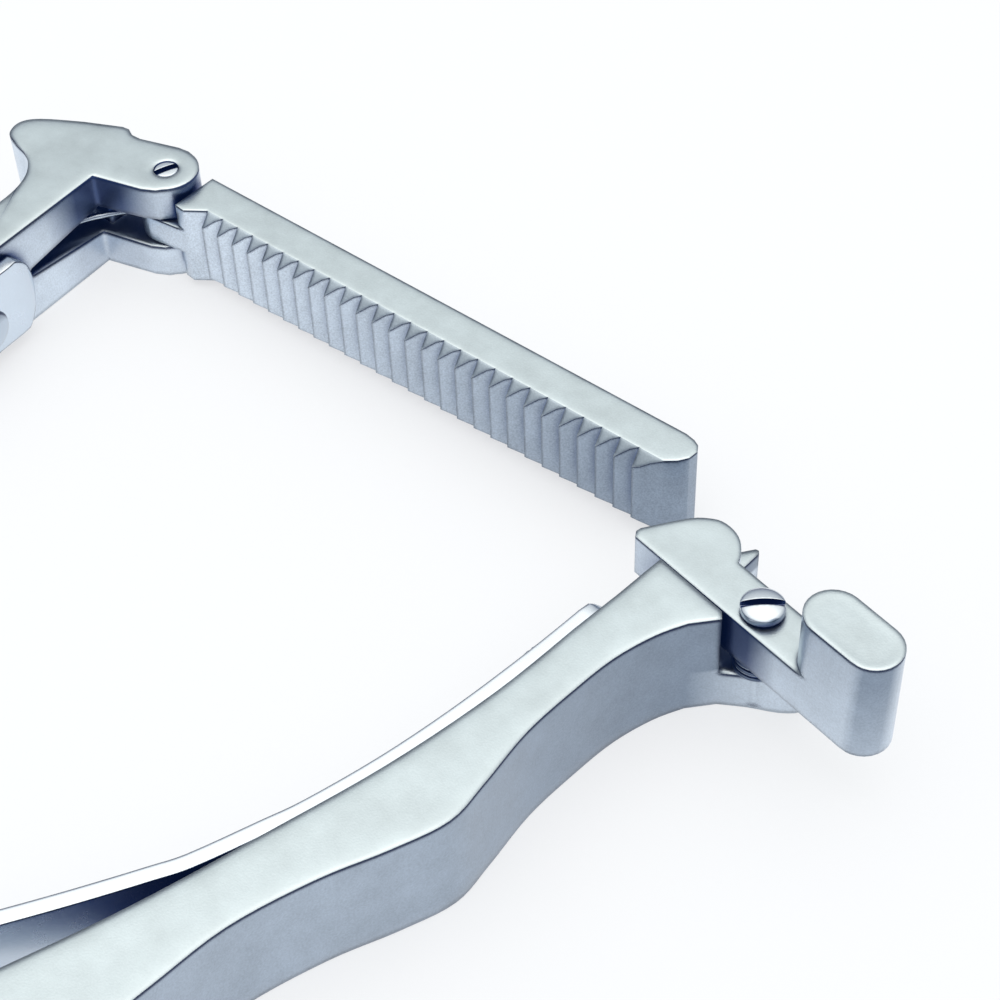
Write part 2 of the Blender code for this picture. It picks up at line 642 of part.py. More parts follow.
def handle_spring(side, sign, steel):
    """Leaf, in its clamped part and its free part, with its screw; sign -1 gives the ratchet side's."""
    face, into = leaf_screw_frame()
    height = (LEAF_LOW + LEAF_HIGH) / 2
    root_outline = leaf_outline(leaf_root_middle())
    blade_outline = leaf_outline(leaf_blade_middle())
    bend = leaf_bend()[0].to_tuple()
    if sign < 0:
        root_outline = mirrored(root_outline)
        blade_outline = mirrored(blade_outline)
        bend = (-bend[0], bend[1])
        face = Vector((-face.x, face.y))
        into = Vector((-into.x, into.y))
    root = plate(side + "_spring_root", root_outline, LEAF_LOW, LEAF_HIGH)
    reach = (LEAF_HIGH - LEAF_LOW) / 2 + 0.02
    sweep = math.degrees(math.asin(reach / LEAF_END_RADIUS))
    centre = (LEAF_END_Y - LEAF_END_RADIUS, height)
    round_end = [(LEAF_SPLIT_Y - 3, height + reach), (LEAF_SPLIT_Y - 3, height - reach)]
    round_end += arc(centre, LEAF_END_RADIUS, -sweep, sweep, 12)
    boolean(root, side_plate(side + "_leaf_end", round_end, -45, 45), "INTERSECT")
    blade = plate(side + "_spring_blade", blade_outline, LEAF_LOW, LEAF_HIGH, bend)
    direction = Vector((into.x, into.y, 0.0))
    turn = direction.to_track_quat("Z", "Y").to_matrix().to_4x4()
    seat = Vector((face.x, face.y, height)) * MM

    def bore(name, radius, start, end):
        hole = round_bar(name, (0, 0), radius, start, end, 24)
        hole.matrix_world = Matrix.Translation(seat) @ turn @ Matrix.Translation((0, 0, (start + end) / 2 * MM))
        return hole

    head_low = GAP + LEAF_THICKNESS + GAP
    depth = 2.2
    cut(root, bore(side + "_leaf_hole", LEAF_SCREW_SHANK + SCREW_GAP, -4, 1))
    cut(HALVES[side], bore(side + "_leaf_screw_hole", LEAF_SCREW_SHANK + SCREW_GAP, -1, depth + GAP))
    finish(root, steel, PARTS)
    finish(blade, steel, PARTS)
    head_top = head_low + LEAF_SCREW_RISE
    profile = [(0, head_top), (LEAF_SCREW_HEAD * 0.7, head_top - 0.1), (LEAF_SCREW_HEAD, head_top - 0.6),
               (LEAF_SCREW_HEAD, head_low), (LEAF_SCREW_SHANK, head_low), (LEAF_SCREW_SHANK, -depth), (0, -depth)]
    screw = slotted_screw(side + "_spring_screw", (0, 0), profile, 0.5, 0.5, math.radians(20), steel, 24)
    placed = Matrix.Translation(seat) @ (-direction).to_track_quat("Z", "Y").to_matrix().to_4x4()
    slot = screw.modifiers["Difference"].object
    bpy.context.view_layer.update()
    slot.matrix_world = placed @ slot.matrix_world
    screw.matrix_world = placed


for old_object in list(bpy.data.objects):
    bpy.data.objects.remove(old_object)

PARTS = new_collection("bone_reduction_forceps")
CUTTERS = new_collection("cutters")
SATIN = material("satin_steel", (0.62, 0.66, 0.68), 0.38)
SPRING_STEEL = material("polished_spring_steel", (0.72, 0.75, 0.78), 0.25)
SCREW_STEEL = material("turned_screw_steel", (0.60, 0.63, 0.66), 0.22)

HALVES = {"ratchet_side": ratchet_side_half(SATIN), "lock_side": lock_side_half(SATIN)}
joint_screw(SCREW_STEEL)
ratchet_bar(SATIN)
ratchet_bar_screw(SCREW_STEEL)
ratchet_bar_spring(SPRING_STEEL)
release_lever(SATIN)
lever_screw(SCREW_STEEL)
lever_spacer(SCREW_STEEL)
lever_spring(SPRING_STEEL)
handle_spring("ratchet_side", -1, SPRING_STEEL)
handle_spring("lock_side", 1, SPRING_STEEL)
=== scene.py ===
"""Looks of the bone reduction forceps: blasted and polished steel, screws, springs and the studio stage.

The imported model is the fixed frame. Each operator dresses one piece or one group of like pieces, and the
panel in the sidebar lists them in the order in which they run.
"""

import json
import math

import bpy
from bpy.props import FloatProperty, FloatVectorProperty, PointerProperty
from mathutils import Matrix, Vector


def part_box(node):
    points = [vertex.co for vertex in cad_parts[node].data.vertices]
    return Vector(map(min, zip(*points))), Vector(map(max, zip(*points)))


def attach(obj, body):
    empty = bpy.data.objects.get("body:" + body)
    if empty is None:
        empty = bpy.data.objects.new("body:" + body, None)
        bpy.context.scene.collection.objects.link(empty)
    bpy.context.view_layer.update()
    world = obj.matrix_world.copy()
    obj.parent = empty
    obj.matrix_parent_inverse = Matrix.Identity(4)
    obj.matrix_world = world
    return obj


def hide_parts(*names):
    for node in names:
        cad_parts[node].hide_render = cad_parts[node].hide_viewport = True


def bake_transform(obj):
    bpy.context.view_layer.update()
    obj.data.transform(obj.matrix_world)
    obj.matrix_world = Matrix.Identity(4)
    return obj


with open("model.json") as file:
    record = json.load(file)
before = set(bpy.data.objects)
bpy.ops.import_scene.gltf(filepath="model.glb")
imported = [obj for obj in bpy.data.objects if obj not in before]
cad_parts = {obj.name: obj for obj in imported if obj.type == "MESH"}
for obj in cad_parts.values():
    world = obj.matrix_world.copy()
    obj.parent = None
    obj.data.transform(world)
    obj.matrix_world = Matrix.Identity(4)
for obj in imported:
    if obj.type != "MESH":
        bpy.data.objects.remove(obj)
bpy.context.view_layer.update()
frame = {"nodes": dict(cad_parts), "record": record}

bl_info = {
    "name": "Bone reduction forceps",
    "version": (1, 0, 0),
    "blender": (4, 5, 0),
    "location": "3D View > Sidebar > Forceps",
    "description": "Dresses the packed model of a pair of bone reduction forceps and sets its stage",
    "category": "Object",
}

MM = 0.001
MERGE_DISTANCE = 0.001 * MM

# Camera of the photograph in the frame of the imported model: place in metres, turn in radians, lens and
# sensor in millimetres, and how near it sees in metres
CAMERA_PLACE = (0.106378, 0.035341, 0.144046)
CAMERA_TURN = (0.7622, 0.0273, 0.6934)
CAMERA_LENS = 79.99
CAMERA_SENSOR = 36.0
CAMERA_CLIP = 0.005

# Lock side's leaf, in millimetres: where it bends, its direction there, and its screw's seat and direction
LEAF_BEND = (26.9, 90.0, 5.35)
LEAF_DIRECTION = (0.3844, 0.9232)
LEAF_SCREW_SEAT = (35.533, 121.715)
LEAF_SCREW_INTO = (0.9974, -0.0714)

# How closely a face has to lie at a place, in millimetres, and how far its normal has to point one way
AT_TOP = 0.01
AT_EDGE = 0.05
AT_SPLIT = 0.5
FACING = 0.9
FACING_CLOSELY = 0.99

# Lever's pivot, and the bottom of the blind hole for its screw: how far this moves up, the heights between
# which it is found and how far it reaches from the pivot, all in millimetres
LEVER_PIVOT = (46.26, 134.38)
HOLE_BOTTOM_RISE = -0.45
HOLE_BOTTOM_HEIGHTS = (0.3, 2.0)
HOLE_BOTTOM_REACH = 1.2

# Insets that dish the thumb knob's top: width and depth of each, in millimetres
KNOB_INSETS = ((0.30, 0.02), (0.35, 0.05), (0.35, 0.02))

# Lever's straight edge at the handle: a point on it and its direction, and the small turn, in degrees and
# about another of its points, that narrows the gap to the handle
LEVER_EDGE_PLACE = (41.26, 133.23, 0.0)
LEVER_EDGE_NORMAL = (-0.204, -0.979, 0.0)
LEVER_EDGE_END = (56.0, 130.16, 0.0)
LEVER_EDGE_TURN = -0.5

# Screws and bush, in millimetres. A profile is a list of radii and heights, a head is its radius, underside
# and top, and a slot is its width, its depth and its direction in degrees
JOINT_SCREW_SHANK = [(2.7, 0.0), (2.8, 0.1), (2.8, 8.5)]
JOINT_SCREW_HEAD = (4.2, 8.5, 11.2)
JOINT_SCREW_SLOT = (1.0, 1.1, 35.0)
BAR_SCREW_PLACE = (-31.9, 145.1)
BAR_SCREW_SHANK = [(0.98, 1.1), (1.05, 1.2), (1.05, 9.4), (1.19, 9.6)]
BAR_SCREW_HEAD = (1.19, 9.8, 10.74)
BAR_SCREW_SLOT = (0.72, 0.6, 70.0)
BAR_SCREW_SINK = 0.15
LEVER_SCREW_SHANK = [(0.9, 1.0), (0.9, 4.3), (1.1, 4.3), (1.1, 11.0)]
LEVER_SCREW_HEAD = (1.83, 11.0, 12.0)
LEVER_SCREW_SLOT = (0.62, 0.78, 40.0)
LEAF_SCREW_SHANK = [(0.9, -2.2), (0.95, -2.1), (0.95, 1.9)]
LEAF_SCREW_HEAD = (2.2, 1.9, 3.3)
LEAF_SCREW_SLOT = (0.5, 0.5, 95.0)
LEAF_SCREW_DOME = 0.25
LEAF_SCREW_EDGE = 0.1
BUSH_PROFILE = [(1.5, 4.3), (1.6, 4.4), (1.6, 5.9), (1.5, 6.0)]
BUSH_WALL = 0.2
TURNED_SIDES = 48

# Shares of a head's radius at which its dome has rings, of the head's edge in the slot's rounding, and of
# the head's radius in the length of the slot
DOME_SHARES = (0.85, 0.65, 0.45, 0.25, 0.08)
SLOT_EDGE_SHARE = 0.6
SLOT_LENGTH_SHARE = 3

# Angles in degrees above which an edge stays sharp
HALF_SHARP = 55
BAR_SHARP = 24
LEVER_SHARP = 40
LEAF_SHARP = 40
WIRE_SHARP = 60
SCREW_SHARP = 35
BUSH_SHARP = 40
SLOT_SHARP = 50

# Rounding of edges: share of the wide crown in the narrow rim's normal
CROWN_SHARE = 0.25

# Openness of a place, which sets the painted shade in hollows: the floor closes the foot of a wall, which
# is given back up to this share and falls with height by this power; walls then count as a little more
# closed, and level faces as more open
FLOOR_HOLLOW = 0.5
FLOOR_FALL = 1.5
WALL_HOLLOW = 0.10
LEVEL_OPEN = 0.12

# Strength of the painted highlight on the rim, the painted shade line below it, the painted light on part
# of the walls and the painted shade round a corner
PAINTED_HIGHLIGHT_SHARE = 0.55
PAINTED_HIGHLIGHT_COLOUR = (0.95, 1.0, 1.0)
EDGE_SHADE_SHARE = 0.92
PAINTED_LIGHT_SHARE = 0.75
CORNER_SHADE_SHARE = 0.88

# Painted glow that hollows keep, speckle that level faces keep, spread of the roughness and strength of the
# grain
HOLLOW_PAINTED_GLOW = (0.0015, 0.0045, 0.017)
FLAT_SPECKLE = 0.4
NOISE_MIDDLE = 0.5
ROUGHNESS_SPREAD = 0.04
BUMP_STRENGTH = 0.35

# Directions in plan to the picture's right and to its near side, which place the painted side light and the
# painted highlight
PICTURE_RIGHT = (0.77, 0.64, 0.0)
PICTURE_NEAR = (0.64, -0.77, 0.0)

# Where each mask of the finish starts and where it is full
UPRIGHT_RANGE = (0.75, 0.25)
LEVEL_RANGE = (0.90, 0.99)
PAINTED_HIGHLIGHT_RANGE = (0.10, 0.40)
EDGE_SHADE_RANGE = (0.05, 0.24)
WALL_RANGE = (0.97, 0.35)
ENDS_RANGE = (0.45, 0.95)
MOTTLE_RANGE = (0.3, 0.7)

# Stage: how far the floor lies below the forceps, its own glow, and the sky's heights and colours
FLOOR_DROP = 0.1 * MM
FLOOR_GLOW = 0.66
SKY = [(0.0, (0.05, 0.06, 0.10)), (0.20, (0.20, 0.22, 0.27)), (0.45, (0.42, 0.45, 0.48)),
       (0.70, (0.67, 0.69, 0.69)), (0.88, (0.97, 0.98, 0.97)), (1.0, (1.05, 1.05, 1.04))]

# Finishes, with places and widths in millimetres.
# rim and crown: widths of the two roundings of an edge.
# Painted shade gradient: tone of the walls along one axis, from painted light (0) to painted shade (1);
# first and last place and share.
# hollow: painted shade in hollows; open shares at which it starts and ends, and how far the hollows reach.
# lit: part of the walls painted as lit, with less painted shade in its hollows, as a range of places along
# each of some axes.
# ends: how much painted light brightens the walls at the picture's left and right.
# corner: walls that darken with painted shade round an upright axis; its place, and where this is full and
# where it ends.
RATCHET_SIDE_FINISH = {
    "rim": 0.8, "crown": 2.4, "shade_gradient": ("Y", 90.0, 130.0, 0.45, 0.35), "hollow": (0.80, 0.50, 8.0),
    "lit": (("Z", 4.6, 3.6),), "ends": 0.75, "corner": (-36.8, 140.0, 2.8, 7.0),
}
LOCK_SIDE_FINISH = {
    "rim": 0.8, "crown": 2.4, "shade_gradient": ("Y", 95.0, 130.0, 0.68, 1.0), "hollow": (0.66, 0.30, 6.0),
    "lit": (("Z", 4.6, 4.2), ("Y", 129.8, 133.5)),
}
RACK_FINISH = {
    "rim": 0.5, "crown": 1.4, "shade_gradient": ("X", -20.0, 28.0, 0.20, 0.95), "hollow": (0.62, 0.20, 5.0),
    "speckle": 0.5, "ends": 0.2,
}
LEVER_FINISH = {
    "rim": 0.6, "crown": 1.4, "shade_gradient": ("Z", 4.0, 15.0, 0.55, 1.0), "hollow": (0.72, 0.35, 6.0),
    "ends": 0.75, "corner": (44.4, 131.7, 2.2, 5.2),
}
LEAF_FINISH = {
    "rim": 0.3, "crown": 0.6, "shade_gradient": ("Y", 0.0, 100.0, 0.11, 0.11), "hollow": (0.55, 0.20, 4.0),
    "grain_depth": 0.01 * MM, "speckle": 0.06, "mottle": 0.05,
}
SCREW_FINISH = {
    "rim": 0.1, "crown": 0.2, "shade_gradient": ("Z", 0.0, 10.0, 0.2, 0.6), "hollow": (0.85, 0.55, 1.6),
    "grain_depth": 0.004 * MM, "speckle": 0.06, "mottle": 0.06,
}
# Lever spring's finish, painted as lying in shade
SHADED_WIRE_FINISH = {
    "rim": 0.1, "crown": 0.2, "shade_gradient": ("Z", 0.0, 10.0, 0.8, 0.8), "hollow": (0.9, 0.30, 4.0),
    "grain_depth": 0.004 * MM, "speckle": 0.06, "mottle": 0.06,
}
SATIN_ROUGHNESS = 0.32
SPRING_ROUGHNESS = 0.25
SCREW_ROUGHNESS = 0.16
WIRE_ROUGHNESS = 0.40

BODY_OF = {node: body for body, nodes in frame["record"]["behaviour"]["bodies"].items() for node in nodes}


# Sizes and colours that a user would change

class FORCEPS_PG_finish(bpy.types.PropertyGroup):
    """Finish of the steel, with the colours of its painted light and shade."""
    satin: FloatVectorProperty(
        name="Satin steel", description="Colour of the flat faces of the halves, bar and lever",
        subtype="COLOR", size=3, min=0.0, max=1.0, default=(0.60, 0.665, 0.68))
    spring: FloatVectorProperty(
        name="Spring steel", description="Colour of the polished spring leaves and of the bar's spring",
        subtype="COLOR", size=3, min=0.0, max=1.0, default=(0.86, 0.90, 0.94))
    screw: FloatVectorProperty(
        name="Screw steel", description="Colour of the turned screws and of the bush",
        subtype="COLOR", size=3, min=0.0, max=1.0, default=(0.70, 0.74, 0.78))
    # Painted light: colour of a side wall painted as lit
    painted_lit_wall: FloatVectorProperty(
        name="Bright wall", description="Colour of a side wall that is finished bright",
        subtype="COLOR", size=3, min=0.0, max=1.0, default=(0.74, 0.83, 0.93))
    # Painted shade: colour of a side wall painted as shaded
    painted_shaded_wall: FloatVectorProperty(
        name="Dull wall", description="Colour of a side wall that is blasted dull",
        subtype="COLOR", size=3, min=0.0, max=1.0, default=(0.24, 0.295, 0.375))
    # Painted shade: colour painted deep in slots and corners, where shade falls
    hollow: FloatVectorProperty(
        name="Hollows", description="Colour that the steel takes deep in slots and corners",
        subtype="COLOR", size=3, min=0.0, max=1.0, default=(0.030, 0.055, 0.150))
    # Painted shade: colour of the thin dark line painted just below an edge
    line: FloatVectorProperty(
        name="Edge line", description="Colour of the thin line that the polishing leaves below an edge",
        subtype="COLOR", size=3, min=0.0, max=1.0, default=(0.030, 0.040, 0.090))
    grain: FloatProperty(
        name="Grain", description="Size of the marks that the blasting leaves",
        subtype="DISTANCE", unit="LENGTH", default=0.17 * MM)
    mottle: FloatProperty(
        name="Mottle", description="Size of the cloudy patches in the satin finish",
        subtype="DISTANCE", unit="LENGTH", default=3.2 * MM)


class FORCEPS_PG_screws(bpy.types.PropertyGroup):
    """Shape of the slotted screws' heads."""
    dome: FloatProperty(
        name="Dome", description="Rise of a head's middle above its rim for each millimetre of its radius",
        subtype="DISTANCE", unit="LENGTH", default=0.19 * MM)
    edge: FloatProperty(
        name="Edge", description="Rounding of a head's rim and of its slot",
        subtype="DISTANCE", unit="LENGTH", default=0.08 * MM)


class FORCEPS_PG_stage(bpy.types.PropertyGroup):
    """Floor and light."""
    floor: FloatVectorProperty(
        name="Floor", description="Colour of the floor",
        subtype="COLOR", size=3, min=0.0, max=1.0, default=(0.94, 0.96, 1.0))
    floor_size: FloatProperty(
        name="Floor size", description="Length of the floor's sides",
        subtype="DISTANCE", unit="LENGTH", default=30.0)
    zenith: FloatProperty(
        name="Overhead light", description="Brightness of the soft light straight above",
        min=0.0, max=4.0, default=1.5)


# Common steps

def select_only(*objects):
    """Leaves object mode with only these objects selected and the first one active."""
    if bpy.context.object is not None and bpy.context.object.mode != "OBJECT":
        bpy.ops.object.mode_set(mode="OBJECT")
    bpy.ops.object.select_all(action="DESELECT")
    for item in objects:
        item.select_set(True)
    bpy.context.view_layer.objects.active = objects[0]


def edit_all(piece):
    """Edit mode on one piece with all of it selected."""
    select_only(piece)
    bpy.ops.object.mode_set(mode="EDIT")
    bpy.ops.mesh.select_mode(type="FACE")
    bpy.ops.mesh.select_all(action="SELECT")


def apply_modifier(piece, kind, **settings):
    """Adds one modifier with its settings and applies it."""
    select_only(piece)
    modifier = piece.modifiers.new(kind.title(), kind)
    for name, value in settings.items():
        setattr(modifier, name, value)
    bpy.ops.object.modifier_apply(modifier=modifier.name)


def shade(piece, angle):
    """Smooth walls with crisp edges; large faces keep their own direction."""
    select_only(piece)
    bpy.ops.object.shade_smooth_by_angle(angle=math.radians(angle), keep_sharp_edges=False)
    apply_modifier(piece, "WEIGHTED_NORMAL", keep_sharp=True)


def select_faces(piece, test):
    """Edit mode with only the faces selected whose centre, in millimetres, and normal pass the test."""
    edit_all(piece)
    bpy.ops.mesh.select_all(action="DESELECT")
    bpy.ops.object.mode_set(mode="OBJECT")
    chosen = [face for face in piece.data.polygons if test(face.center / MM, face.normal)]
    if not chosen:
        raise RuntimeError("no face of " + piece.name + " passes the test")
    for face in chosen:
        face.select = True
    bpy.ops.object.mode_set(mode="EDIT")


def merged_copy(node, name):
    """A copy of a CAD node with its triangles joined."""
    mesh = frame["nodes"][node].data.copy()
    mesh.name = name
    piece = bpy.data.objects.new(name, mesh)
    bpy.context.scene.collection.objects.link(piece)
    edit_all(piece)
    bpy.ops.mesh.customdata_custom_splitnormals_clear()
    bpy.ops.mesh.remove_doubles(threshold=MERGE_DISTANCE)
    select_only(piece)
    return piece


def dress(piece, slot, material, *nodes):
    """Gives a finished piece its material and lets it stand for its CAD nodes."""
    piece.data.materials.clear()
    piece.data.materials.append(material)
    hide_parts(*nodes)


def seat(piece, node, slot, material):
    """Puts the finished piece in the place of its CAD node, on the node's body."""
    dress(piece, slot, material, node)
    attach(piece, BODY_OF[node])


# Shared effects

def socket(group, name, kind, way, default=None):
    """Adds a named input or output to a group."""
    made = group.interface.new_socket(name=name, in_out=way, socket_type=kind)
    if default is not None:
        made.default_value = default


def math_node(tree, operation, first, second=None, clamp=False):
    """Result of a sum on sockets or plain numbers."""
    node = tree.nodes.new("ShaderNodeMath")
    node.operation = operation
    node.use_clamp = clamp
    for index, value in enumerate((first, second)):
        if value is None:
            continue
        if isinstance(value, (int, float)):
            node.inputs[index].default_value = value
        else:
            tree.links.new(value, node.inputs[index])
    return node.outputs[0]


def map_range(tree, value, low, high, to_low=0.0, to_high=1.0):
    """A value carried from one range to another and kept inside it."""
    node = tree.nodes.new("ShaderNodeMapRange")
    tree.links.new(value, node.inputs["Value"])
    node.inputs["From Min"].default_value = low
    node.inputs["From Max"].default_value = high
    node.inputs["To Min"].default_value = to_low
    node.inputs["To Max"].default_value = to_high
    return node.outputs["Result"]


def blasted_grain_group():
    """Cloudy patches and the fine marks of blasting."""
    group = bpy.data.node_groups.get("blasted_grain")
    if group is not None:
        return group
    group = bpy.data.node_groups.new("blasted_grain", "ShaderNodeTree")
    socket(group, "Vector", "NodeSocketVector", "INPUT")
    socket(group, "Mottle Scale", "NodeSocketFloat", "INPUT", 300.0)
    socket(group, "Grain Scale", "NodeSocketFloat", "INPUT", 6000.0)
    socket(group, "Mottle", "NodeSocketFloat", "OUTPUT")
    socket(group, "Grain", "NodeSocketFloat", "OUTPUT")
    enter = group.nodes.new("NodeGroupInput")
    leave = group.nodes.new("NodeGroupOutput")
    clouds = group.nodes.new("ShaderNodeTexNoise")
    clouds.inputs["Detail"].default_value = 5.0
    clouds.inputs["Roughness"].default_value = 0.62
    marks = group.nodes.new("ShaderNodeTexNoise")
    marks.inputs["Detail"].default_value = 2.0
    group.links.new(enter.outputs["Vector"], clouds.inputs["Vector"])
    group.links.new(enter.outputs["Vector"], marks.inputs["Vector"])
    group.links.new(enter.outputs["Mottle Scale"], clouds.inputs["Scale"])
    group.links.new(enter.outputs["Grain Scale"], marks.inputs["Scale"])
    group.links.new(map_range(group, clouds.outputs["Fac"], *MOTTLE_RANGE), leave.inputs["Mottle"])
    group.links.new(marks.outputs["Fac"], leave.inputs["Grain"])
    return group


def mixed_normal(tree, first, second, share):
    """Direction between two normals."""
    node = tree.nodes.new("ShaderNodeMix")
    node.data_type = "VECTOR"
    vectors = [item for item in node.inputs if item.type == "VECTOR"]
    node.inputs["Factor"].default_value = share
    tree.links.new(first, next(item for item in vectors if item.name == "A"))
    tree.links.new(second, next(item for item in vectors if item.name == "B"))
    straight = tree.nodes.new("ShaderNodeVectorMath")
    straight.operation = "NORMALIZE"
    tree.links.new(next(item for item in node.outputs if item.type == "VECTOR"), straight.inputs[0])
    return straight.outputs[0]


def height_of(tree, vector):
    """Upward part of a vector."""
    parts = tree.nodes.new("ShaderNodeSeparateXYZ")
    tree.links.new(vector, parts.inputs[0])
    return parts.outputs["Z"]


def facing_share(tree, normal, direction):
    """How much a normal points in a direction."""
    product = tree.nodes.new("ShaderNodeVectorMath")
    product.operation = "DOT_PRODUCT"
    tree.links.new(normal, product.inputs[0])
    product.inputs[1].default_value = direction
    return product.outputs["Value"]


def edge_rounding_and_painted_light_group():
    """Rounded edges, with masks of the painted highlight on their rim, the painted shade line below them,
    walls, ends for painted side light and hollows for painted shade.
    """
    group = bpy.data.node_groups.get("edge_rounding_and_painted_light")
    if group is not None:
        return group
    group = bpy.data.node_groups.new("edge_rounding_and_painted_light", "ShaderNodeTree")
    socket(group, "Vector", "NodeSocketVector", "INPUT")
    socket(group, "Rim Width", "NodeSocketFloat", "INPUT", 0.8 * MM)
    socket(group, "Crown Width", "NodeSocketFloat", "INPUT", 2.4 * MM)
    socket(group, "Hollow Reach", "NodeSocketFloat", "INPUT", 5.0 * MM)
    socket(group, "Hollow Start", "NodeSocketFloat", "INPUT", 0.65)
    socket(group, "Hollow End", "NodeSocketFloat", "INPUT", 0.30)
    # Masks for the painted highlight on rims, the painted shade line below edges, upright walls, painted
    # side light and painted shade in hollows
    for name in ("Rim", "Line", "Wall", "Ends", "Hollow"):
        socket(group, name, "NodeSocketFloat", "OUTPUT")
    socket(group, "Rounded Normal", "NodeSocketVector", "OUTPUT")
    enter = group.nodes.new("NodeGroupInput")
    leave = group.nodes.new("NodeGroupOutput")
    rim = group.nodes.new("ShaderNodeBevel")
    rim.samples = 8
    group.links.new(enter.outputs["Rim Width"], rim.inputs["Radius"])
    crown = group.nodes.new("ShaderNodeBevel")
    crown.samples = 6
    group.links.new(enter.outputs["Crown Width"], crown.inputs["Radius"])
    rounded = mixed_normal(group, rim.outputs["Normal"], crown.outputs["Normal"], CROWN_SHARE)
    group.links.new(rounded, leave.inputs["Rounded Normal"])
    plain = group.nodes.new("ShaderNodeNewGeometry")
    facing = height_of(group, plain.outputs["Normal"])
    leaning = height_of(group, rim.outputs["Normal"])
    tilt = math_node(group, "ABSOLUTE", facing)
    upright = map_range(group, tilt, *UPRIGHT_RANGE)
    level = map_range(group, facing, *LEVEL_RANGE)
    # Painted highlight: level faces along edges whose rounding faces the camera's side are painted bright
    near = map_range(group, facing_share(group, rim.outputs["Normal"], PICTURE_NEAR), *PAINTED_HIGHLIGHT_RANGE)
    group.links.new(math_node(group, "MULTIPLY", near, level), leave.inputs["Rim"])
    # Painted shade: a thin dark line on walls just below an edge
    line = math_node(group, "MULTIPLY", map_range(group, leaning, *EDGE_SHADE_RANGE), upright)
    group.links.new(line, leave.inputs["Line"])
    group.links.new(map_range(group, tilt, *WALL_RANGE), leave.inputs["Wall"])
    # Walls that face sideways across the view, for painted side light
    sideways = math_node(group, "ABSOLUTE", facing_share(group, plain.outputs["Normal"], PICTURE_RIGHT))
    group.links.new(map_range(group, sideways, *ENDS_RANGE), leave.inputs["Ends"])
    # Painted shade in hollows, from how closed each place is
    nearby = group.nodes.new("ShaderNodeAmbientOcclusion")
    nearby.samples = 8
    group.links.new(enter.outputs["Hollow Reach"], nearby.inputs["Distance"])
    height = height_of(group, enter.outputs["Vector"])
    reach = math_node(group, "DIVIDE", height, enter.outputs["Hollow Reach"], clamp=True)
    floor_share = math_node(group, "POWER", math_node(group, "SUBTRACT", 1.0, reach), FLOOR_FALL)
    floor_share = math_node(group, "MULTIPLY", floor_share, FLOOR_HOLLOW)
    floor_share = math_node(group, "SUBTRACT", floor_share, WALL_HOLLOW)
    open_share = math_node(group, "ADD", nearby.outputs["AO"],
                           math_node(group, "MULTIPLY", floor_share, upright))
    open_share = math_node(group, "ADD", open_share, math_node(group, "MULTIPLY", level, LEVEL_OPEN))
    hollow = group.nodes.new("ShaderNodeMapRange")
    group.links.new(open_share, hollow.inputs["Value"])
    group.links.new(enter.outputs["Hollow Start"], hollow.inputs["From Min"])
    group.links.new(enter.outputs["Hollow End"], hollow.inputs["From Max"])
    group.links.new(hollow.outputs["Result"], leave.inputs["Hollow"])
    return group


def mixed(tree, factor, first, second):
    """Colour mix; each colour is a socket or a plain colour."""
    node = tree.nodes.new("ShaderNodeMix")
    node.data_type = "RGBA"
    tree.links.new(factor, node.inputs["Factor"])
    for name, value in (("A", first), ("B", second)):
        target = next(item for item in node.inputs if item.name == name and item.type == "RGBA")
        if isinstance(value, bpy.types.NodeSocket):
            tree.links.new(value, target)
        else:
            target.default_value = (*value, 1.0)
    return next(item for item in node.outputs if item.type == "RGBA")


def place_share(tree, parts, *ranges):
    """Share that rises along one or more axes, each from a first to a last place in millimetres."""
    shares = [map_range(tree, parts.outputs[axis], first * MM, last * MM) for axis, first, last in ranges]
    product = shares[0]
    for share in shares[1:]:
        product = math_node(tree, "MULTIPLY", product, share)
    return product


def near_share(tree, parts, x, y, near, far):
    """Share that falls from 1 at one distance from an upright axis to 0 at another, in millimetres."""
    squares = []
    for axis, value in (("X", x), ("Y", y)):
        gap = math_node(tree, "SUBTRACT", parts.outputs[axis], value * MM)
        squares.append(math_node(tree, "MULTIPLY", gap, gap))
    distance = math_node(tree, "SQRT", math_node(tree, "ADD", squares[0], squares[1]))
    return map_range(tree, distance, near * MM, far * MM, 1.0, 0.0)


def wall_masks(tree, parts, edge, shade_gradient, lit, ends, corner):
    """How much painted shade the walls take, and how much painted shade darkens the hollows."""
    # Painted shade on the walls, graded along one axis
    axis, first, last, first_share, last_share = shade_gradient
    wall_shade = map_range(tree, parts.outputs[axis], first * MM, last * MM, first_share, last_share)
    # Painted side light brightens the walls that face sideways across the view
    end_light = math_node(tree, "MULTIPLY", edge.outputs["Ends"], ends)
    wall_shade = math_node(tree, "MULTIPLY", wall_shade, math_node(tree, "SUBTRACT", 1.0, end_light))
    hollows = edge.outputs["Hollow"]
    # Painted shade on the walls round a corner
    if corner is not None:
        darkened = math_node(tree, "MULTIPLY", near_share(tree, parts, *corner), edge.outputs["Wall"])
        hollows = math_node(tree, "MAXIMUM", hollows, math_node(tree, "MULTIPLY", darkened, CORNER_SHADE_SHARE))
    # Painted light on one part of the walls, which also lightens its painted shade in hollows
    if lit is not None:
        bright = math_node(tree, "MULTIPLY", place_share(tree, parts, *lit), PAINTED_LIGHT_SHARE)
        unlit = math_node(tree, "SUBTRACT", 1.0, bright)
        wall_shade = math_node(tree, "MULTIPLY", wall_shade, unlit)
        hollows = math_node(tree, "MULTIPLY", hollows, unlit)
    return wall_shade, hollows


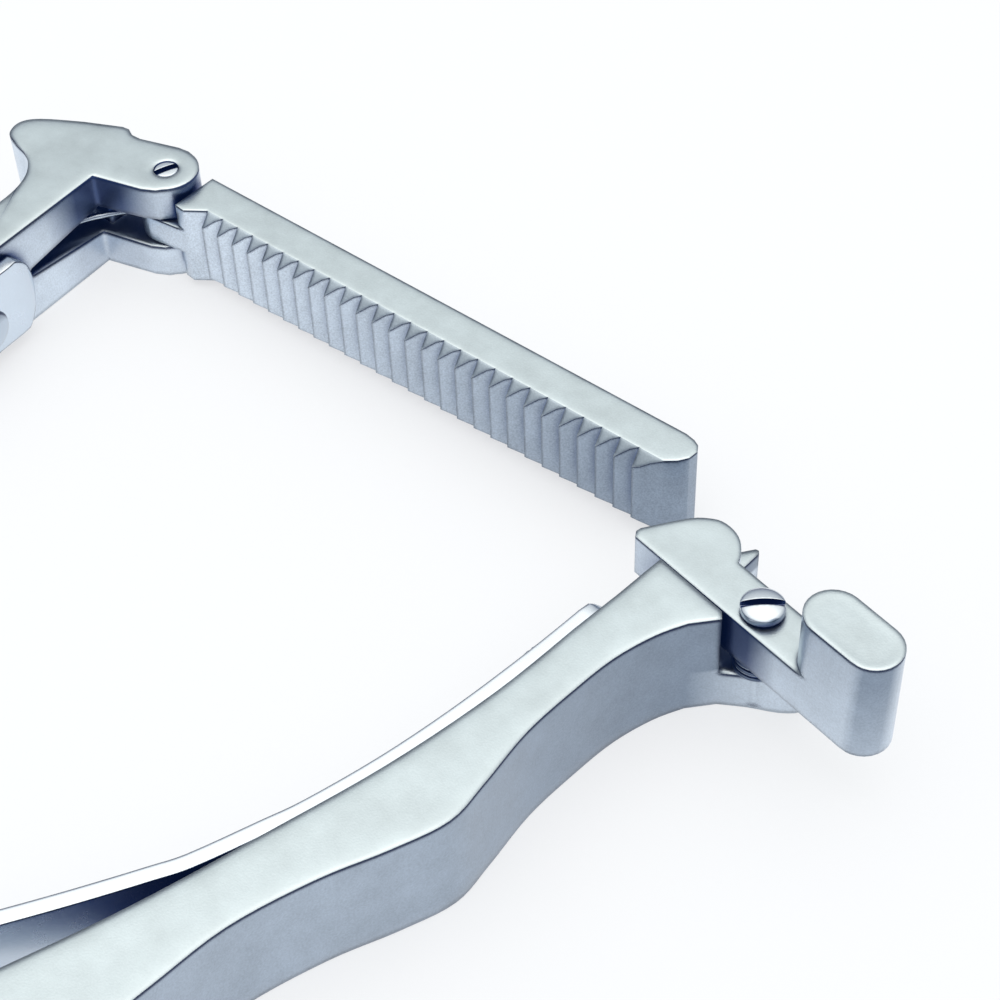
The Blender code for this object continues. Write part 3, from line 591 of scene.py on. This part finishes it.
def steel_colour_and_painted_light_group():
    """Colour of the steel from its masks: walls in painted light and shade, clouds and grain, painted
    highlights on rims, painted shade lines, and painted shade with a faint painted glow in hollows.
    """
    group = bpy.data.node_groups.get("steel_colour_and_painted_light")
    if group is not None:
        return group
    group = bpy.data.node_groups.new("steel_colour_and_painted_light", "ShaderNodeTree")
    for name in ("Level Colour", "Painted Lit Wall", "Dull Wall", "Line Colour", "Hollow Colour"):
        socket(group, name, "NodeSocketColor", "INPUT")
    for name in ("Dull", "Wall", "Rim", "Line", "Hollow", "Grain", "Mottle", "Speckle", "Clouds"):
        socket(group, name, "NodeSocketFloat", "INPUT")
    socket(group, "Colour", "NodeSocketColor", "OUTPUT")
    socket(group, "Painted Glow", "NodeSocketColor", "OUTPUT")
    enter = group.nodes.new("NodeGroupInput").outputs
    leave = group.nodes.new("NodeGroupOutput").inputs
    # Walls take painted light and painted shade between two colours
    walls = mixed(group, enter["Dull"], enter["Painted Lit Wall"], enter["Dull Wall"])
    toned = mixed(group, enter["Wall"], enter["Level Colour"], walls)
    spots = math_node(group, "SUBTRACT", enter["Grain"], NOISE_MIDDLE)
    spots = math_node(group, "MULTIPLY", spots, enter["Speckle"])
    spots = math_node(group, "MULTIPLY", spots, math_node(group, "ADD", enter["Wall"], FLAT_SPECKLE))
    clouds = math_node(group, "SUBTRACT", enter["Mottle"], NOISE_MIDDLE)
    clouds = math_node(group, "MULTIPLY", clouds, enter["Clouds"])
    strength = math_node(group, "ADD", math_node(group, "ADD", spots, clouds), 1.0)
    uneven = group.nodes.new("ShaderNodeVectorMath")
    uneven.operation = "SCALE"
    group.links.new(toned, uneven.inputs[0])
    group.links.new(strength, uneven.inputs["Scale"])
    # Painted highlight on the rims that face the camera's side
    painted_highlight = math_node(group, "MULTIPLY", enter["Rim"], PAINTED_HIGHLIGHT_SHARE)
    highlighted = mixed(group, painted_highlight, uneven.outputs[0], PAINTED_HIGHLIGHT_COLOUR)
    # Painted shade line below edges
    edge_shade_tone = math_node(group, "MULTIPLY", enter["Line"], EDGE_SHADE_SHARE)
    edge_shaded = mixed(group, edge_shade_tone, highlighted, enter["Line Colour"])
    # Painted shade in hollows, and a faint painted glow there
    group.links.new(mixed(group, enter["Hollow"], edge_shaded, enter["Hollow Colour"]), leave["Colour"])
    group.links.new(mixed(group, enter["Hollow"], (0.0, 0.0, 0.0), HOLLOW_PAINTED_GLOW), leave["Painted Glow"])
    return group


def steel(name, colour, roughness, rim, crown, shade_gradient, hollow, lit=None, ends=0.0, corner=None,
          grain_depth=0.03 * MM, speckle=0.30, mottle=0.18):
    """A steel finish with clouds, grain, a painted highlight on rims, a painted shade line below edges,
    walls toned with painted light and shade, and painted shade in hollows.
    """
    material = bpy.data.materials.get(name)
    if material is not None:
        return material
    finish = bpy.context.scene.forceps_finish
    material = bpy.data.materials.new(name)
    material.use_nodes = True
    tree = material.node_tree
    shader = tree.nodes["Principled BSDF"]
    shader.inputs["Metallic"].default_value = 1.0
    place = tree.nodes.new("ShaderNodeTexCoord").outputs["Object"]
    parts = tree.nodes.new("ShaderNodeSeparateXYZ")
    tree.links.new(place, parts.inputs[0])
    grain = tree.nodes.new("ShaderNodeGroup")
    grain.node_tree = blasted_grain_group()
    grain.inputs["Mottle Scale"].default_value = 1.0 / finish.mottle
    grain.inputs["Grain Scale"].default_value = 1.0 / finish.grain
    tree.links.new(place, grain.inputs["Vector"])
    edge = tree.nodes.new("ShaderNodeGroup")
    edge.node_tree = edge_rounding_and_painted_light_group()
    edge.inputs["Rim Width"].default_value = rim * MM
    edge.inputs["Crown Width"].default_value = crown * MM
    edge.inputs["Hollow Start"].default_value = hollow[0]
    edge.inputs["Hollow End"].default_value = hollow[1]
    edge.inputs["Hollow Reach"].default_value = hollow[2] * MM
    tree.links.new(place, edge.inputs["Vector"])
    wall_shade, hollows = wall_masks(tree, parts, edge, shade_gradient, lit, ends, corner)
    tone = tree.nodes.new("ShaderNodeGroup")
    tone.node_tree = steel_colour_and_painted_light_group()
    for input_name, shown in (("Level Colour", colour), ("Painted Lit Wall", finish.painted_lit_wall),
                              ("Dull Wall", finish.painted_shaded_wall), ("Line Colour", finish.line),
                              ("Hollow Colour", finish.hollow)):
        tone.inputs[input_name].default_value = (*shown, 1.0)
    tone.inputs["Speckle"].default_value = speckle
    tone.inputs["Clouds"].default_value = mottle
    for mask in ("Wall", "Rim", "Line"):
        tree.links.new(edge.outputs[mask], tone.inputs[mask])
    for pattern in ("Grain", "Mottle"):
        tree.links.new(grain.outputs[pattern], tone.inputs[pattern])
    tree.links.new(wall_shade, tone.inputs["Dull"])
    tree.links.new(hollows, tone.inputs["Hollow"])
    tree.links.new(tone.outputs["Colour"], shader.inputs["Base Color"])
    # Painted glow in the hollows
    tree.links.new(tone.outputs["Painted Glow"], shader.inputs["Emission Color"])
    shader.inputs["Emission Strength"].default_value = 1.0
    rough = map_range(tree, grain.outputs["Mottle"], 0.0, 1.0, roughness - ROUGHNESS_SPREAD,
                      roughness + ROUGHNESS_SPREAD)
    tree.links.new(rough, shader.inputs["Roughness"])
    bump = tree.nodes.new("ShaderNodeBump")
    bump.inputs["Strength"].default_value = BUMP_STRENGTH
    bump.inputs["Distance"].default_value = grain_depth
    tree.links.new(grain.outputs["Grain"], bump.inputs["Height"])
    tree.links.new(edge.outputs["Rounded Normal"], bump.inputs["Normal"])
    tree.links.new(bump.outputs["Normal"], shader.inputs["Normal"])
    return material


def satin_steel(name, look):
    """Blasted finish of a large piece."""
    return steel(name, bpy.context.scene.forceps_finish.satin, SATIN_ROUGHNESS, **look)


def spring_steel():
    """Polished finish of the leaves and of the bar's spring."""
    finish = bpy.context.scene.forceps_finish
    return steel("polished_spring_steel", finish.spring, SPRING_ROUGHNESS, **LEAF_FINISH)


def screw_steel():
    """Turned finish of the screws and the bush."""
    finish = bpy.context.scene.forceps_finish
    return steel("turned_screw_steel", finish.screw, SCREW_ROUGHNESS, **SCREW_FINISH)


def shaded_wire_steel():
    """Lever spring's steel in painted shade: it takes the shaded wall colour and more painted shade."""
    finish = bpy.context.scene.forceps_finish
    return steel("shaded_wire_steel", finish.painted_shaded_wall, WIRE_ROUGHNESS, **SHADED_WIRE_FINISH)


# Halves, ratchet bar, lever

class FORCEPS_OT_halves(bpy.types.Operator):
    """Smooth the two halves and give them their blasted finish."""
    bl_idname = "forceps.halves"
    bl_label = "Halves"

    def execute(self, context):
        for side, look in (("ratchet_side", RATCHET_SIDE_FINISH), ("lock_side", LOCK_SIDE_FINISH)):
            half = merged_copy(side + "_half", side + "_handle_and_jaw")
            if side == "lock_side":
                deepen_hole(half)
            shade(half, HALF_SHARP)
            seat(half, side + "_half", "satin_steel", satin_steel(side + "_blasted_steel", look))
        return {"FINISHED"}


def deepen_hole(half):
    """Draws the bottom of the lever screw's hole down, so that the thin wall beside it is shaded evenly."""
    pivot = Vector(LEVER_PIVOT)
    low, high = HOLE_BOTTOM_HEIGHTS
    select_faces(half, lambda centre, normal: normal.z > FACING and low < centre.z < high
                 and (centre.xy - pivot).length < HOLE_BOTTOM_REACH)
    bpy.ops.transform.translate(value=(0.0, 0.0, HOLE_BOTTOM_RISE * MM))


class FORCEPS_OT_ratchet_bar(bpy.types.Operator):
    """Keep the rack's teeth crisp and give the bar its blasted finish."""
    bl_idname = "forceps.ratchet_bar"
    bl_label = "Ratchet bar"

    def execute(self, context):
        bar = merged_copy("ratchet_bar", "toothed_ratchet_bar")
        shade(bar, BAR_SHARP)
        seat(bar, "ratchet_bar", "satin_steel", satin_steel("rack_blasted_steel", RACK_FINISH))
        return {"FINISHED"}


class FORCEPS_OT_lever(bpy.types.Operator):
    """Dish the thumb knob's top and give the release lever its blasted finish."""
    bl_idname = "forceps.lever"
    bl_label = "Release lever"

    def execute(self, context):
        lever = merged_copy("release_lever", "thumb_release_lever")
        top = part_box("release_lever")[1][2] / MM
        select_faces(lever, lambda centre, normal: centre.z > top - AT_TOP and normal.z > FACING)
        bpy.ops.mesh.dissolve_faces()
        for width, depth in KNOB_INSETS:
            bpy.ops.mesh.inset(thickness=width * MM, depth=-depth * MM)
        towards = Vector(LEVER_EDGE_NORMAL)
        place = Vector(LEVER_EDGE_PLACE)
        select_faces(lever, lambda centre, normal: normal.dot(towards) > FACING_CLOSELY
                     and abs((centre - place).dot(towards)) < AT_EDGE)
        bpy.ops.transform.rotate(value=math.radians(LEVER_EDGE_TURN), orient_axis="Z",
                                 center_override=tuple(Vector(LEVER_EDGE_END) * MM))
        shade(lever, LEVER_SHARP)
        seat(lever, "release_lever", "satin_steel", satin_steel("lever_blasted_steel", LEVER_FINISH))
        return {"FINISHED"}


# Springs

class FORCEPS_OT_springs(bpy.types.Operator):
    """Make each handle spring one leaf, and round and finish the wires."""
    bl_idname = "forceps.springs"
    bl_label = "Springs"

    def execute(self, context):
        for side, sign in (("ratchet_side", -1), ("lock_side", 1)):
            leaf = whole_leaf(side, sign)
            dress(leaf, "spring_steel", spring_steel(), side + "_spring_root", side + "_spring_blade")
            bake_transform(leaf)
        # The lever's spring takes the steel in painted shade
        for node, finish in (("ratchet_bar_spring", spring_steel()), ("lever_spring", shaded_wire_steel())):
            wire = merged_copy(node, node + "_wire")
            apply_modifier(wire, "SUBSURF", levels=1, render_levels=1)
            shade(wire, WIRE_SHARP)
            seat(wire, node, "spring_steel", finish)
        return {"FINISHED"}


def whole_leaf(side, sign):
    """The clamped and the free part of a leaf as one strip, without the split between them."""
    leaf = merged_copy(side + "_spring_root", side + "_leaf_spring")
    blade = merged_copy(side + "_spring_blade", side + "_leaf_blade")
    select_only(leaf, blade)
    bpy.ops.object.join()
    bend = Vector((sign * LEAF_BEND[0], LEAF_BEND[1], 0.0))
    along = Vector((sign * LEAF_DIRECTION[0], LEAF_DIRECTION[1], 0.0))

    def at_split(centre, normal):
        return abs((centre - bend).dot(along)) < AT_SPLIT and abs(normal.dot(along)) > FACING

    select_faces(leaf, at_split)
    bpy.ops.mesh.bridge_edge_loops()
    shade(leaf, LEAF_SHARP)
    return leaf


# Screws and bush

def turned(name, profile):
    """A solid of revolution on the Z axis: a disc drawn up through radii and heights in millimetres."""
    radius, height = profile[0]
    bpy.ops.object.select_all(action="DESELECT")
    bpy.ops.mesh.primitive_circle_add(vertices=TURNED_SIDES, radius=radius * MM, fill_type="NGON",
                                      location=(0.0, 0.0, height * MM))
    piece = bpy.context.object
    piece.name = name
    piece.data.name = name
    bpy.ops.object.transform_apply(location=True, rotation=True, scale=True)
    edit_all(piece)
    for next_radius, next_height in profile[1:]:
        rise = (0.0, 0.0, (next_height - height) * MM)
        bpy.ops.mesh.extrude_region_move(TRANSFORM_OT_translate={"value": rise})
        share = next_radius / radius
        bpy.ops.transform.resize(value=(share, share, 1.0), center_override=(0.0, 0.0, next_height * MM))
        radius = next_radius
        height = next_height
    bpy.ops.mesh.select_all(action="SELECT")
    bpy.ops.mesh.normals_make_consistent(inside=False)
    bpy.ops.object.mode_set(mode="OBJECT")
    return piece


def domed_head(radius, low, top, dome, edge):
    """Profile of a screw's head from its underside to the middle of its dome."""
    rim = top - dome
    crown = [(radius * share, top - dome * share * share) for share in DOME_SHARES]
    return [(radius, low), (radius, rim - edge), (radius - edge, rim)] + crown


def cut_slot(piece, radius, top, width, depth, degrees):
    """Screwdriver slot across the head, with softened edges."""
    bpy.ops.object.select_all(action="DESELECT")
    bpy.ops.mesh.primitive_cube_add(size=1.0, location=(0.0, 0.0, top * MM),
                                    rotation=(0.0, 0.0, math.radians(degrees)))
    tool = bpy.context.object
    tool.scale = (radius * SLOT_LENGTH_SHARE * MM, width * MM, depth * 2 * MM)
    bpy.ops.object.transform_apply(location=True, rotation=True, scale=True)
    apply_modifier(piece, "BOOLEAN", operation="DIFFERENCE", solver="EXACT", object=tool)
    bpy.data.objects.remove(tool)
    edge = bpy.context.scene.forceps_screws.edge
    apply_modifier(piece, "BEVEL", width=edge * SLOT_EDGE_SHARE, segments=2, limit_method="ANGLE",
                   angle_limit=math.radians(SLOT_SHARP))


def slotted_screw(node, shank, head, slot, centre, sink=0.0):
    """Turned screw at a place in plan; a sunk one has a flatter dome."""
    sizes = bpy.context.scene.forceps_screws
    radius, low, top = head
    width, depth, degrees = slot
    profile = shank + domed_head(radius, low, top, sizes.dome / MM * radius - sink, sizes.edge / MM)
    screw = turned(node + "_turned", profile)
    cut_slot(screw, radius, top, width, depth, degrees)
    shade(screw, SCREW_SHARP)
    place_piece(screw, Matrix.Translation(Vector((*centre, 0.0)) * MM))
    seat(screw, node, "screw_steel", screw_steel())


def place_piece(piece, matrix):
    """Moves a finished piece by the matrix and applies its place to its mesh."""
    piece.matrix_world = matrix
    select_only(piece)
    bpy.ops.object.transform_apply(location=True, rotation=True, scale=True)


class FORCEPS_OT_screws(bpy.types.Operator):
    """Turn the slotted screws and the lever's bush."""
    bl_idname = "forceps.screws"
    bl_label = "Screws and bush"

    def execute(self, context):
        slotted_screw("joint_screw", JOINT_SCREW_SHANK, JOINT_SCREW_HEAD, JOINT_SCREW_SLOT, (0.0, 0.0))
        slotted_screw("ratchet_bar_screw", BAR_SCREW_SHANK, BAR_SCREW_HEAD, BAR_SCREW_SLOT, BAR_SCREW_PLACE,
                      BAR_SCREW_SINK)
        slotted_screw("lever_screw", LEVER_SCREW_SHANK, LEVER_SCREW_HEAD, LEVER_SCREW_SLOT, LEVER_PIVOT)
        for side, sign in (("ratchet_side", -1), ("lock_side", 1)):
            self.leaf_screw(side, sign)
        self.bush()
        return {"FINISHED"}

    def leaf_screw(self, side, sign):
        """Screw that holds a leaf, with its head towards the other handle."""
        radius, low, top = LEAF_SCREW_HEAD
        head = domed_head(radius, low, top, LEAF_SCREW_DOME, LEAF_SCREW_EDGE)
        screw = turned(side + "_spring_screw_turned", LEAF_SCREW_SHANK + head)
        cut_slot(screw, radius, top, *LEAF_SCREW_SLOT)
        shade(screw, SCREW_SHARP)
        away = Vector((-sign * LEAF_SCREW_INTO[0], -LEAF_SCREW_INTO[1], 0.0))
        turn = away.to_track_quat("Z", "Y").to_matrix().to_4x4()
        seat_point = Vector((sign * LEAF_SCREW_SEAT[0], LEAF_SCREW_SEAT[1], LEAF_BEND[2])) * MM
        place_piece(screw, Matrix.Translation(seat_point) @ turn)
        seat(screw, side + "_spring_screw", "screw_steel", screw_steel())

    def bush(self):
        """Bush under the lever, bored for the screw's shoulder."""
        bush = turned("lever_bush", BUSH_PROFILE)
        select_faces(bush, lambda centre, normal: abs(normal.z) > FACING)
        bpy.ops.mesh.inset(thickness=BUSH_WALL * MM)
        bpy.ops.mesh.bridge_edge_loops()
        shade(bush, BUSH_SHARP)
        place_piece(bush, Matrix.Translation(Vector((*LEVER_PIVOT, 0.0)) * MM))
        seat(bush, "lever_spacer", "screw_steel", screw_steel())


# Stage

def overhead_world(zenith):
    """Soft light that is bright overhead and dim and bluish at the horizon."""
    world = bpy.data.worlds.new("light_tent")
    bpy.context.scene.world = world
    world.use_nodes = True
    tree = world.node_tree
    light = tree.nodes["Background"]
    place = tree.nodes.new("ShaderNodeTexCoord")
    parts = tree.nodes.new("ShaderNodeSeparateXYZ")
    ramp = tree.nodes.new("ShaderNodeValToRGB")
    tree.links.new(place.outputs["Generated"], parts.inputs[0])
    tree.links.new(parts.outputs["Z"], ramp.inputs["Fac"])
    tree.links.new(ramp.outputs["Color"], light.inputs["Color"])
    for element, (position, colour) in zip(ramp.color_ramp.elements, (SKY[0], SKY[-1])):
        element.position = position
        element.color = (*colour, 1.0)
    for position, colour in SKY[1:-1]:
        element = ramp.color_ramp.elements.new(position)
        element.color = (*colour, 1.0)
    light.inputs["Strength"].default_value = zenith


def floor_material(colour):
    """A pale floor that shows itself near white and keeps the forceps' soft shadow."""
    material = bpy.data.materials.new("pale_floor")
    material.use_nodes = True
    tree = material.node_tree
    shader = tree.nodes["Principled BSDF"]
    shader.inputs["Base Color"].default_value = (*colour, 1.0)
    shader.inputs["Roughness"].default_value = 0.9
    shader.inputs["Specular IOR Level"].default_value = 0.0
    path = tree.nodes.new("ShaderNodeLightPath")
    glow = tree.nodes.new("ShaderNodeEmission")
    glow.inputs["Color"].default_value = (1.0, 1.0, 1.0, 1.0)
    seen = math_node(tree, "MAXIMUM", path.outputs["Is Camera Ray"], path.outputs["Is Glossy Ray"])
    seen = math_node(tree, "MAXIMUM", seen, path.outputs["Is Transmission Ray"])
    share = math_node(tree, "MULTIPLY", seen, FLOOR_GLOW)
    blend = tree.nodes.new("ShaderNodeMixShader")
    tree.links.new(share, blend.inputs["Fac"])
    tree.links.new(shader.outputs["BSDF"], blend.inputs[1])
    tree.links.new(glow.outputs["Emission"], blend.inputs[2])
    tree.links.new(blend.outputs["Shader"], tree.nodes["Material Output"].inputs["Surface"])
    return material


class FORCEPS_OT_stage(bpy.types.Operator):
    """Lay the pale floor, light it softly and set the photograph's camera."""
    bl_idname = "forceps.stage"
    bl_label = "Stage"

    def execute(self, context):
        look = context.scene.forceps_stage
        bpy.ops.object.select_all(action="DESELECT")
        bpy.ops.mesh.primitive_plane_add(size=look.floor_size, location=(0.0, 0.0, -FLOOR_DROP))
        floor = context.object
        floor.name = "floor"
        bpy.ops.object.transform_apply(location=True, rotation=True, scale=True)
        floor.data.materials.append(floor_material(look.floor))
        overhead_world(look.zenith)
        lens = bpy.data.cameras.new("camera")
        lens.lens = CAMERA_LENS
        lens.sensor_width = CAMERA_SENSOR
        lens.clip_start = CAMERA_CLIP
        camera = bpy.data.objects.new("camera", lens)
        context.scene.collection.objects.link(camera)
        camera.location = CAMERA_PLACE
        camera.rotation_euler = CAMERA_TURN
        context.scene.camera = camera
        context.scene.view_settings.view_transform = "Standard"
        return {"FINISHED"}


STEPS = (FORCEPS_OT_halves, FORCEPS_OT_ratchet_bar, FORCEPS_OT_lever, FORCEPS_OT_screws, FORCEPS_OT_springs,
         FORCEPS_OT_stage)


class FORCEPS_PT_panel(bpy.types.Panel):
    """The steps, in their order."""
    bl_idname = "FORCEPS_PT_panel"
    bl_label = "Bone reduction forceps"
    bl_space_type = "VIEW_3D"
    bl_region_type = "UI"
    bl_category = "Forceps"

    def draw(self, context):
        for step in STEPS:
            self.layout.operator(step.bl_idname)
        for group in (context.scene.forceps_finish, context.scene.forceps_screws,
                      context.scene.forceps_stage):
            box = self.layout.box()
            for name in group.bl_rna.properties.keys():
                if name not in ("rna_type", "name"):
                    box.prop(group, name)


CLASSES = (FORCEPS_PG_finish, FORCEPS_PG_screws, FORCEPS_PG_stage, *STEPS, FORCEPS_PT_panel)


def register():
    for item in CLASSES:
        bpy.utils.register_class(item)
    bpy.types.Scene.forceps_finish = PointerProperty(type=FORCEPS_PG_finish)
    bpy.types.Scene.forceps_screws = PointerProperty(type=FORCEPS_PG_screws)
    bpy.types.Scene.forceps_stage = PointerProperty(type=FORCEPS_PG_stage)


def unregister():
    del bpy.types.Scene.forceps_stage
    del bpy.types.Scene.forceps_screws
    del bpy.types.Scene.forceps_finish
    for item in reversed(CLASSES):
        bpy.utils.unregister_class(item)


def main():
    register()
    bpy.ops.forceps.halves()
    bpy.ops.forceps.ratchet_bar()
    bpy.ops.forceps.lever()
    bpy.ops.forceps.screws()
    bpy.ops.forceps.springs()
    bpy.ops.forceps.stage()


if __name__ == "__main__":
    main()
